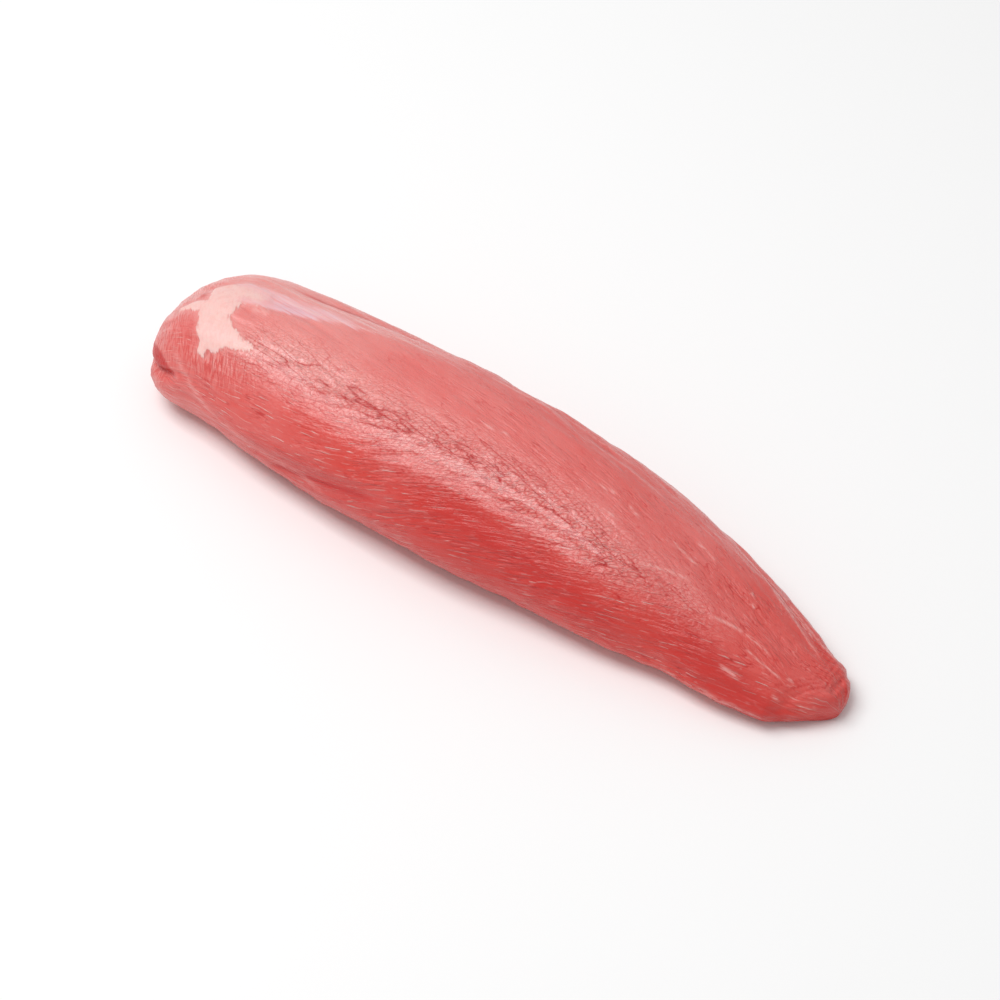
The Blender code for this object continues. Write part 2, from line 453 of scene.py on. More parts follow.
@dataclass(frozen=True)
class GrainTurn:
    """How the fibres leave the meat's line: the top's run down to the near flank, whose own climb."""

    far_turn: float = 0.0062
    far_from: float = 52
    far_ease: float = 30
    near_climb: float = 0.44
    near_from: float = 95
    near_ease: float = 8
    near_angles: Pair = (math.radians(14), math.radians(38))
    underside_angles: Pair = (0.2, 0.8)
    head_end: Pair = (0.5, 5)

    def near_share(self, along: Array, angle: Array) -> Array:
        """How much of the near flank's fibres shows, from 0 to 1: none underneath or at the head's tip."""
        sideways = fade(angle, *self.near_angles) * fade(math.pi - angle, *self.underside_angles)
        return sideways * fade(along, *self.head_end)

    @staticmethod
    def travelled(along: Array, start: float, ease: float) -> Array:
        """How far a turn has run, eased into a straight line: ease x ln(1 + e^((along - start) / ease))."""
        return ease * np.logaddexp(0, (along - start) / ease)

    def grains(self, points: Array, middle: Array, along: Array, girth: Array) -> dict[Flank, Array]:
        """The coordinates of each flank's fibres in millimetres: X along them, Y and Z across them.

        Args:
            points: The skin's points.
            middle: The axis beside each point.
            along: Distances from the head's end.
            girth: Lengths over the surface from the crest.

        Returns:
            For the far flank, the points turned about the meat's axis by an angle that grows along it. For
            the near one, the girth plus the climb so far, as a fibre there keeps their sum.
        """
        offset = points - middle
        turn = self.far_turn * self.travelled(along, self.far_from, self.far_ease)
        y = offset[..., 1] * np.cos(turn) + offset[..., 2] * np.sin(turn)
        z = offset[..., 2] * np.cos(turn) - offset[..., 1] * np.sin(turn)
        climbed = girth + self.near_climb * self.travelled(along, self.near_from, self.near_ease)
        return {
            Flank.FAR: np.stack([points[..., 0], y, z], -1),
            Flank.NEAR: np.stack([points[..., 0], climbed, 0 * along], -1),
        }


@dataclass
class SkinMap:
    """What is known of each point of the skin's grid, in millimetres and radians."""

    NEAR_SHIFT = 53

    along: Array
    angle: Array
    points: Array
    normals: Array
    girth: Array
    travel: Array
    grains: dict[Flank, Array]
    near_share: Array

    @classmethod
    def of(cls, form: MuscleForm, grid: SkinGrid, grain: GrainTurn) -> "SkinMap":
        """Works out the grid's points on the form, their normals and their fibre coordinates.

        Args:
            form: The muscle's large form.
            grid: The rows and columns.
            grain: How the fibres turn.

        Returns:
            The filled map. girth is the length over the surface from the crest, positive on the near flank,
            travel is the length along the crest from the head's tip, and the normals are the cross product
            of the grid's two directions.
        """
        along, angle = np.meshgrid(grid.places(form.length), grid.angles(), indexing="ij")
        points = form.surface(along, angle)
        points[..., 1] -= (points[..., 1].min() + points[..., 1].max()) / 2
        beside = np.roll(points, -1, axis=1) - np.roll(points, 1, axis=1)
        normals = np.cross(beside, np.gradient(points, axis=0))
        normals /= np.linalg.norm(normals, axis=-1, keepdims=True)
        steps = np.linalg.norm(np.diff(points, axis=1)[..., 1:], axis=-1)
        length = np.concatenate([np.zeros((grid.rows, 1)), np.cumsum(steps, axis=1)], 1)
        crest = int(np.argmin(np.abs(angle[0])))
        girth = length - length[:, crest : crest + 1]
        crest_steps = np.linalg.norm(np.diff(points[:, crest], axis=0), axis=-1)
        travel = np.concatenate([[0], np.cumsum(crest_steps)])[:, None] + 0 * along
        axis_y = points[..., 1].mean(1, keepdims=True) + 0 * along
        middle = np.stack([0 * along, axis_y, form.curve("widest_at", along)], -1)
        grains = grain.grains(points, middle, along, girth)
        return cls(along, angle, points, normals, girth, travel, grains, grain.near_share(along, angle))

    def along_fibres(self, noise: GradientNoise, cell: Triple, layers: int) -> Array:
        """Noise stretched along the fibres of both flanks, mixed by which of them shows."""
        far = noise.layered(self.grains[Flank.FAR], cell, layers)
        near = noise.layered(self.grains[Flank.NEAR] + self.NEAR_SHIFT, cell, layers)
        return far + (near - far) * self.near_share


@dataclass(frozen=True)
class FatPatch:
    """The cap of pale fat at the head, as an outline of (along, girth) points, raised above the muscle."""

    rise: float = 0.45
    outline: tuple[Pair, ...] = (
        (15.5, -3.5), (18.5, -6), (26, -10), (36, -10), (39, -5), (36.5, -1), (31.5, 0.5), (30.5, 3.5),
        (31.5, 8.5), (35, 11), (40.8, 13.2),
        (48.5, 14.8), (44.5, 17), (40, 18.4), (37, 18.8), (35, 21.8), (31.5, 22.4), (30.5, 25.4),
        (27.8, 24.4), (26.5, 20.6), (23.8, 18), (21.8, 13.8), (18.5, 9.6), (15, 9.0), (10.5, 9.2), (9.5, 7.6),
        (12.5, 5.6), (15, 4.6), (18.4, 4.2), (18, 1.2), (16, -1.4),
    )

    def inside(self, skin: SkinMap) -> Array:
        """The signed distance to the outline, positive inside.

        Args:
            skin: The skin's map.

        Returns:
            Millimetres: the least distance to any edge, with a sign from how often a line from the point
            crosses the outline.
        """
        x, y = skin.along, skin.girth
        nearest = np.full(x.shape, np.inf)
        crossings = np.zeros(x.shape, bool)
        for (x0, y0), (x1, y1) in zip(self.outline, self.outline[1:] + self.outline[:1]):
            edge_x, edge_y = x1 - x0, y1 - y0
            t = np.clip(((x - x0) * edge_x + (y - y0) * edge_y) / (edge_x**2 + edge_y**2), 0, 1)
            nearest = np.minimum(nearest, np.hypot(x - x0 - t * edge_x, y - y0 - t * edge_y))
            spans = (y0 > y) != (y1 > y)
            reach = x0 + (y - y0) / (edge_y if edge_y else 1.0) * edge_x
            crossings ^= spans & (x < reach)
        return np.where(crossings, nearest, -nearest)


@dataclass(frozen=True)
class Silverskin:
    """The band of thin silvery membrane that runs from the fat along the upper far side."""

    start: float = 17
    full_from: float = 28
    full_to: float = 44
    end: float = 94
    girth_at_start: float = -2.5
    slope: float = -0.22
    half_width: float = 9.0
    narrowing: float = 0.075
    softness: float = 4.0
    vein_along: float = 47
    vein_girth: float = -7.2
    vein_half_length: float = 10
    vein_half_width: float = 2.6

    def middle(self, skin: SkinMap) -> Array:
        """The band's middle line, as girth: it falls away from the crest at an even slope."""
        return self.girth_at_start + self.slope * (skin.along - self.start)

    def cover(self, skin: SkinMap) -> Array:
        """How thick the membrane lies, from 0 to 1: even across the band, soft at its sides and its ends."""
        lengthwise = span(skin.along, (self.start, self.full_from), (self.full_to, self.end))
        half_width = self.half_width - self.narrowing * np.clip(skin.along - self.start, 0, self.end)
        from_side = half_width - np.abs(skin.girth - self.middle(skin))
        return fade(from_side, 0, self.softness) * lengthwise

    def vein(self, skin: SkinMap) -> Array:
        """The bluish stretch that shows through the membrane, from 0 to 1."""
        lean = self.vein_girth + self.slope * (skin.along - self.vein_along)
        lengthwise = hill(skin.along, self.vein_along, self.vein_half_length)
        return lengthwise * hill(skin.girth, lean, self.vein_half_width)


@dataclass(frozen=True)
class Strand:
    """A thin pale mark from one (along, girth) point to another, bowed sideways: mostly strands of connective
    tissue, and a few short painted glints.
    """

    start: Pair
    end: Pair
    bow: float
    half_width: float
    strength: float = 0.8
    fading: float = 0.2

    def cover(self, skin: SkinMap) -> Array:
        """The strand's strength: a hill across its line, bowed by bow x 4t(1 - t) and faded at its ends."""
        run_x, run_y = self.end[0] - self.start[0], self.end[1] - self.start[1]
        length = math.hypot(run_x, run_y)
        off_x, off_y = skin.along - self.start[0], skin.girth - self.start[1]
        t = (off_x * run_x + off_y * run_y) / length**2
        across = (off_y * run_x - off_x * run_y) / length
        middle = self.bow * 4 * t * (1 - t)
        lengthwise = span(t, (0, self.fading), (1 - self.fading, 1))
        return self.strength * hill(across, middle, self.half_width) * lengthwise


@dataclass(frozen=True)
class MuscleRelief:
    """The fine relief that the skin adds to the solid's form, in millimetres."""

    bundle_cell: Triple = (46, 6.0, 6.0)
    bundle_rise: float = 0.26
    fibre_cell: Triple = (15, 2.5, 2.5)
    fibre_rise: float = 0.22
    pucker_cell: Triple = (4.2, 2.4, 2.4)
    pucker_rise: float = 0.10
    edge_cell: Triple = (9, 6, 6)
    edge_rise: float = 0.45
    edge_height: float = 7
    edge_spread: float = 6
    hidden_by_smooth: float = 0.75
    hidden_by_puckers: float = 0.5

    def heights(self, skin: SkinMap, smooth: Array, crinkled: Array) -> Array:
        """How far each point stands above the form: noise of three sizes, and a ragged edge.

        Args:
            skin: The skin's map.
            smooth: 0 to 1 where fat or membrane hides the fibres.
            crinkled: 0 to 1 where the outer membrane is puckered.

        Returns:
            Heights along the normals.
        """
        bundles = skin.along_fibres(GradientNoise(seed=11), self.bundle_cell, 2)
        fibres = skin.along_fibres(GradientNoise(seed=12), self.fibre_cell, 2)
        puckers = GradientNoise(seed=13).at(skin.points, self.pucker_cell)
        edge = GradientNoise(seed=14).at(skin.points, self.edge_cell)
        low = hill(skin.points[..., 2], self.edge_height, self.edge_spread)
        bare = (1 - self.hidden_by_smooth * smooth) * (1 - self.hidden_by_puckers * crinkled)
        height = self.bundle_rise * bundles * bare + self.fibre_rise * fibres * bare
        return height + self.pucker_rise * puckers * crinkled + self.edge_rise * edge * low


class Wire:
    """A socket of a shader graph on which Python's operators add Math nodes."""

    def __init__(self, graph: "Graph", socket: bpy.types.NodeSocket) -> None:
        """Keeps the graph and the socket that the wire leaves."""
        self.graph = graph
        self.socket = socket

    def __add__(self, other: "Wire | float") -> "Wire":
        """The sum."""
        return self.graph.math("ADD", self, other)

    __radd__ = __add__

    def __mul__(self, other: "Wire | float") -> "Wire":
        """The product."""
        return self.graph.math("MULTIPLY", self, other)

    __rmul__ = __mul__

    def __sub__(self, other: "Wire | float") -> "Wire":
        """The difference."""
        return self.graph.math("SUBTRACT", self, other)

    def __rsub__(self, other: float) -> "Wire":
        """The difference, the other way round."""
        return self.graph.math("SUBTRACT", other, self)

    def __abs__(self) -> "Wire":
        """The size without its sign."""
        return self.graph.math("ABSOLUTE", self)

    def clamped(self) -> "Wire":
        """The value held between 0 and 1."""
        return self.graph.node("ShaderNodeClamp", {}, {"Value": self})


class Graph:
    """One material's shader graph, ending in its Principled shader."""

    def __init__(self, name: str) -> None:
        """Makes the material.

        Args:
            name: The material's name.
        """
        self.material = bpy.data.materials.new(name)
        self.material.use_nodes = True
        self.nodes = self.material.node_tree.nodes
        self.links = self.material.node_tree.links
        self.shader = self.nodes["Principled BSDF"]

    def node(self, kind: str, settings: dict, inputs: dict, output: int | str = 0) -> Wire:
        """Adds a node: its settings first, then the values or links of its sockets.

        Args:
            kind: The node's type.
            settings: Its properties.
            inputs: Its sockets by name or number.
            output: The socket to read.

        Returns:
            A wire from that output.
        """
        made = self.nodes.new(kind)
        for name, value in settings.items():
            setattr(made, name, value)
        for name, value in inputs.items():
            self.feed(made.inputs[name], value)
        return Wire(self, made.outputs[output])

    def feed(self, socket: bpy.types.NodeSocket, value: Any) -> None:
        """Links a wire to a socket, or sets the socket to a number, vector or colour."""
        if isinstance(value, Wire):
            self.links.new(value.socket, socket)
        elif socket.type == "RGBA":
            socket.default_value = (*value, 1.0)
        else:
            socket.default_value = value

    def dress(self, inputs: dict[str, Any]) -> bpy.types.Material:
        """Feeds the Principled shader's sockets by name, and gives the finished material."""
        for name, value in inputs.items():
            self.feed(self.shader.inputs[name], value)
        return self.material

    def math(self, operation: str, *values: Any) -> Wire:
        """A Math node on one or two values."""
        return self.node("ShaderNodeMath", {"operation": operation}, dict(enumerate(values)))

    def vector_math(self, operation: str, *values: Any) -> Wire:
        """A Vector Math node on two vectors."""
        return self.node("ShaderNodeVectorMath", {"operation": operation}, dict(enumerate(values)))

    def mix(self, share: Any, first: Any, second: Any) -> Wire:
        """A colour between two others.

        Args:
            share: How much of the second, from 0 to 1.
            first: A colour or a wire of one.
            second: A colour or a wire of one.

        Returns:
            The mixed colour.
        """
        settings = {"data_type": "RGBA", "clamp_factor": True}
        return self.node("ShaderNodeMix", settings, {0: share, 6: first, 7: second}, output=2)

    def step(self, value: Wire, low: float, high: float) -> Wire:
        """A smooth step from 0 at low to 1 at high, which may run downwards."""
        inputs = {"Value": value, "From Min": low, "From Max": high}
        return self.node("ShaderNodeMapRange", {"interpolation_type": "SMOOTHSTEP"}, inputs)

    def attribute(self, name: str, output: str = "Fac") -> Wire:
        """A value that the mesh holds for each point."""
        return self.node("ShaderNodeAttribute", {"attribute_name": name}, {}, output)

    def scaled(self, vector: Wire, cell: Triple) -> Wire:
        """Coordinates in metres, counted in cells of these sizes in millimetres."""
        return self.vector_math("MULTIPLY", vector, tuple(1000 / side for side in cell))

    def noise(self, vector: Wire, cell: Triple, detail: float = 1.0, output: str = "Fac") -> Wire:
        """Smooth noise, from 0 to 1 about 0.5.

        Args:
            vector: Coordinates in metres.
            cell: The size of its spots, in millimetres.
            detail: How many finer layers it has.
            output: The node's output to read: "Fac" is one value and "Color" is three.

        Returns:
            The noise.
        """
        inputs = {"Vector": self.scaled(vector, cell), "Scale": 1.0, "Detail": detail}
        return self.node("ShaderNodeTexNoise", {}, inputs, output)

    def plates(self, vector: Wire, cell: Triple) -> Wire:
        """Small plates side by side, read on the coordinates' X and Y.

        Args:
            vector: Coordinates in metres.
            cell: The plates' size, in millimetres.

        Returns:
            The distance to the nearest border, from 0 on it to about half a plate.
        """
        settings = {"feature": "DISTANCE_TO_EDGE", "voronoi_dimensions": "2D"}
        inputs = {"Vector": self.scaled(vector, cell), "Scale": 1.0}
        return self.node("ShaderNodeTexVoronoi", settings, inputs, "Distance")

    def shifted(self, vector: Wire, cell: Triple, reach: float) -> Wire:
        """Coordinates pushed about by smooth noise.

        Args:
            vector: Coordinates in metres.
            cell: The size of the noise's spots, in millimetres.
            reach: How far they are pushed, in millimetres.

        Returns:
            The moved coordinates.
        """
        push = self.noise(vector, cell, output="Color")
        centred = self.vector_math("SUBTRACT", push, (0.5, 0.5, 0.5))
        return self.vector_math("ADD", vector, self.vector_math("MULTIPLY", centred, (2 * reach * MM,) * 3))


class Fibres:
    """The shader's two sets of muscle fibres, one for the top and one for the near flank."""

    def __init__(self, graph: Graph) -> None:
        """Reads the fibre coordinates and makes them waver a little."""
        self.graph = graph
        self.near_share = graph.attribute("near_share")
        cell, reach = (9, 3, 3), 0.4
        self.near = graph.shifted(graph.attribute("grain_near", "Vector"), cell, reach)
        self.far = graph.shifted(graph.attribute("grain_far", "Vector"), cell, reach)

    def noise(self, cell: Pair, detail: float) -> Wire:
        """Noise stretched along the fibres.

        Args:
            cell: Its spots' length along the fibres and width across them, in millimetres.
            detail: How many finer layers it has.

        Returns:
            The noise, from 0 to 1, mixed by which flank's fibres show.
        """
        long, wide = cell
        near = self.graph.noise(self.near, (long, wide, wide), detail)
        far = self.graph.noise(self.far, (long, wide, wide), detail)
        return far + (near - far) * self.near_share

    def crease(self, cell: Pair, detail: float) -> Wire:
        """How far the noise is from its middle value: 0 along thin winding lines, and more between them."""
        return abs(self.noise(cell, detail) - 0.5)

    def lines(self, spacing: float, cell: Pair, wander: float) -> Wire:
        """Many thin lines that run side by side along the near flank's fibres.

        Args:
            spacing: How far apart they run, in millimetres.
            cell: The size of the noise that bends them, in millimetres.
            wander: How far it bends them, in spacings.

        Returns:
            The distance to the nearest line, in millimetres.
        """
        across = self.graph.node("ShaderNodeSeparateXYZ", {}, {"Vector": self.near}, "Y")
        count = across * (1000 / spacing) + self.noise(cell, 1.0) * wander
        return self.graph.math("PINGPONG", count, 0.5) * spacing


class MeatPatterns:
    """The patterns that the meat's colour and its bump share."""

    # How far each of them stands out in the bump, in millimetres
    BUNDLE_RISE = 0.35
    GRIT_RISE = 0.12
    THREAD_RISE = -1.0
    FURROW_RISE = 0.9
    DASH_RISE = 0.16
    PLATE_RISE = 0.55
    CREASE_RISE = 0.9
    CELL_RISE = 1.3
    FOLD_RISE = 1.1
    FAT_RISE = 0.12
    STRAND_RISE = 0.15

    def __init__(self, graph: Graph) -> None:
        """Reads the skin's values and lays out the noises.

        Args:
            graph: The material's graph.
        """
        place = graph.node("ShaderNodeTexCoord", {}, {}, "Object")
        fibres = Fibres(graph)
        around = graph.attribute("around", "Vector")
        self.veil_and_sheen, self.crinkle = graph.attribute("veil_and_sheen"), graph.attribute("crinkle")
        self.wrinkle, self.deep_red_and_shade = graph.attribute("wrinkle"), graph.attribute("deep_red_and_shade")
        self.strand, self.hollow = graph.attribute("strand"), graph.attribute("hollow")

        # Smooth noises about 0.5: broad streaks, hairs, patches, thin film, and fine unevenness
        self.bundle = fibres.noise((20, 3.0), detail=1.0)
        self.hair = fibres.noise((3.0, 0.5), detail=1.0)
        self.streak = fibres.noise((20, 1.2), detail=3.0)
        self.silver = graph.step(graph.attribute("silver") + (self.streak - 0.5) * 1.6, 0.2, 1.0)
        self.vein = graph.attribute("vein")
        self.blotch = graph.noise(place, (17, 14, 14), detail=2.0)
        self.grit = graph.noise(place, (0.5, 0.5, 0.5), detail=1.0)
        self.tooth = graph.noise(around, (0.9, 3.0, 3.0), detail=2.0)
        self.tear = graph.noise(place, (3.0, 3.0, 3.0), detail=2.0)

        # Distances from thin lines: threads, furrows, long creases, the puckers' borders, and wrinkles
        rumpled = graph.shifted(fibres.near, (4.2, 2.6, 2.6), 1.3)
        self.thread = fibres.crease((12, 1.5), detail=1.0)
        self.dash_line = fibres.lines(spacing=1.9, cell=(18, 4), wander=1.8)
        self.furrow = fibres.crease((13, 1.9), detail=1.0)
        self.crease = fibres.crease((28, 4.2), detail=1.5)
        self.plate = graph.plates(rumpled, (2.5, 1.15, 1.0))
        self.small_cell = abs(graph.noise(rumpled, (2.4, 1.6, 1.6), detail=1.0) - 0.5)
        creased = graph.shifted(around, (3, 5, 5), 0.5)
        self.fold = abs(graph.noise(creased, (1.15, 7.0, 7.0), detail=1.0) - 0.5)

        # Where each of them shows
        self.lively = graph.step(graph.noise(place, (12, 8, 8), detail=1.0), 0.38, 0.52)
        self.cluster = graph.step(fibres.noise((15, 5), detail=1.0), 0.48, 0.58)
        open_meat = (1 - self.wrinkle) * (1 - self.silver * 0.7)
        self.broken = graph.step(fibres.noise((5.5, 1.7), detail=1.0), 0.49, 0.57)
        self.exposed = (1 - self.veil_and_sheen * 0.55).clamped() * open_meat * (self.lively * 0.65 + 0.35)
        on_flank = fibres.near_share * open_meat * (1 - self.crinkle * 0.6)
        dashed = self.broken * (self.cluster * 0.7 + 0.3) * on_flank
        # Short raised ridges along the near flank's fibres, which the colour paints as bright glints
        self.dash = graph.step(self.dash_line, 0.19, 0.03) * dashed
        self.fat_edge = graph.attribute("fat") + (self.tooth - 0.5) * 2.6 + (self.tear - 0.5) * 1.8
        blend = self.silver * 5.0
        self.fat = graph.step(self.fat_edge - blend, -0.35 - blend, 0.35)

    def height(self) -> Wire:
        """The fine relief, in millimetres."""
        bare = 1 - self.fat
        hair = (self.hair - 0.5) * (self.lively * 0.14 + 0.05)
        fibres = (self.bundle - 0.5) * self.BUNDLE_RISE + hair + (self.grit - 0.5) * self.GRIT_RISE
        lines = self.thread * self.THREAD_RISE + self.furrow * self.FURROW_RISE
        ridges = self.exposed * (1 - self.crinkle * 0.5) * lines + self.dash * self.DASH_RISE
        plates = self.plate * self.PLATE_RISE + self.crease * self.CREASE_RISE
        puckers = self.crinkle * (plates + self.small_cell * self.CELL_RISE)
        wrinkles = self.wrinkle * self.fold * self.FOLD_RISE
        relief = (fibres + ridges + puckers + wrinkles) * (bare * 0.7 + 0.3) * (1 - self.silver * 0.6)
        return relief + self.fat * self.FAT_RISE + self.strand * self.STRAND_RISE


@dataclass(frozen=True)
class MeatFinish:
    """The looks of moist raw pork: its colours are linear red, green and blue."""

    # The meat's deep red, also laid into creases and hollows as painted shade
    deep_red_and_shade: Colour = (0.54, 0.012, 0.010)
    lean: Colour = (0.68, 0.052, 0.038)
    veiled: Colour = (0.76, 0.170, 0.155)
    # pale is also laid on the relief's crests as painted highlight
    pale: Colour = (0.88, 0.40, 0.37)
    # fat is also the colour of the painted glint dashes on the near flank
    fat: Colour = (0.89, 0.55, 0.51)
    fat_shade: Colour = (0.84, 0.42, 0.38)
    silver: Colour = (0.85, 0.51, 0.54)
    vein: Colour = (0.70, 0.42, 0.53)
    roughness: float = 0.35
    fat_roughness: float = 0.46
    patchiness: float = 0.16
    wet: float = 0.24
    wet_in_puckers: float = 0.48
    wet_roughness: float = 0.16
    depth_weight: float = 0.20
    depth_scale: float = 2.0 * MM
    depth_colours: Colour = (1.0, 0.3, 0.22)

    def colour(self, graph: Graph, p: MeatPatterns) -> Wire:
        """The colour: lean meat under a milky membrane with a painted highlight and a painted reflection in
        places, its fine lines with painted glints and painted shade, and then strands with a few painted
        glints, silverskin and fat.

        Args:
            graph: The material's graph.
            p: Its patterns.

        Returns:
            The mixed colour.
        """
        # The puckered band is paler: partly whiter membrane, partly painted highlight
        cloud = p.veil_and_sheen + (p.blotch - 0.5) * 0.7 + (p.bundle - 0.5) * 0.25 + p.crinkle * 0.25
        colour = graph.mix(cloud, self.lean, self.veiled)
        colour = graph.mix((cloud - 1) * 0.6, colour, self.pale)

        # Paler crests of the relief: thin pale threads of membrane on the fibres' crests with painted glints,
        # whiter membrane with a painted highlight on the puckers' domes, and a painted highlight on the
        # wrinkles' crests
        thread = graph.step(p.thread, 0.04, 0.0) * p.broken * p.exposed * 0.35
        pucker = graph.step(p.plate, 0.08, 0.3) * p.crinkle * 0.55
        wrinkle = graph.step(p.fold, 0.04, 0.13) * p.wrinkle * 0.4
        colour = graph.mix(thread + pucker + wrinkle, colour, self.pale)
        # Painted glints: the dashes are laid in the fat's pale colour
        colour = graph.mix(p.dash * 0.9, colour, self.fat)

        # Painted shade: the deep red laid along the bottoms of the puckers' borders, the long creases, the
        # furrows and the wrinkles' pleats
        crack = graph.step(p.plate, 0.09, 0.0) * (p.lively * 0.3 + 0.1)
        crack = crack + graph.step(p.small_cell, 0.025, 0.0) * 0.3
        crease = graph.step(p.crease, 0.03, 0.0) * 0.75
        furrow = graph.step(p.furrow, 0.03, 0.0) * p.exposed * (p.cluster * 0.5 + 0.5)
        pleat = graph.step(p.fold, 0.05, 0.0) * p.wrinkle * 0.45
        # Painted shade in the hollows of the relief
        low = graph.step(p.hollow, 0.0, -1.0) * 0.2
        dark = ((crack + crease) * p.crinkle + furrow + pleat + low) * (1 - p.silver * 0.7)
        colour = graph.mix(dark, colour, self.deep_red_and_shade)
        # Darker red where the mask says, with painted shade at the tail's bottom edge and in the rim's arcs
        colour = graph.mix(p.deep_red_and_shade, colour, self.deep_red_and_shade)

        # Pale strands of connective tissue, with a few painted glints among them
        colour = graph.mix(p.strand * graph.step(p.hair, 0.3, 0.55), colour, self.pale)
        film = p.silver * (graph.step(p.streak, 0.3, 0.7) * 0.5 + 0.5)
        colour = graph.mix(film, colour, self.silver)
        colour = graph.mix(p.vein * 0.32, colour, self.vein)
        colour = graph.mix(p.strand * p.silver, colour, self.fat)
        colour = graph.mix(graph.step(p.fat_edge, -3.0, 0.0) * 0.3, colour, self.pale)
        shade = graph.step(p.tooth, 0.5, 0.3) * 0.35 + graph.step(p.tear, 0.52, 0.38) * 0.3
        return graph.mix(p.fat, colour, graph.mix(shade, self.fat, self.fat_shade))

    def material(self) -> bpy.types.Material:
        """Builds the shader: the colour, the fine bump, and a moist gloss that is duller on the fat."""
        graph = Graph("raw_pork_skin")
        p = MeatPatterns(graph)
        bump = {"Strength": 1.0, "Distance": MM, "Height": p.height()}
        patchy = (p.blotch - 0.5) * self.patchiness
        wet = self.wet + patchy + p.crinkle * self.wet_in_puckers
        dull = (1 - p.fat * 0.8) * (1 - p.silver * 0.6) * (1 - p.deep_red_and_shade)
        return graph.dress({
            "Normal": graph.node("ShaderNodeBump", {}, bump),
            "Base Color": self.colour(graph, p),
            "Roughness": self.roughness + patchy + p.fat * (self.fat_roughness - self.roughness),
            "Coat Weight": wet * dull,
            "Coat Roughness": self.wet_roughness,
            "Subsurface Weight": self.depth_weight,
            "Subsurface Scale": self.depth_scale,
            "Subsurface Radius": self.depth_colours,
        })


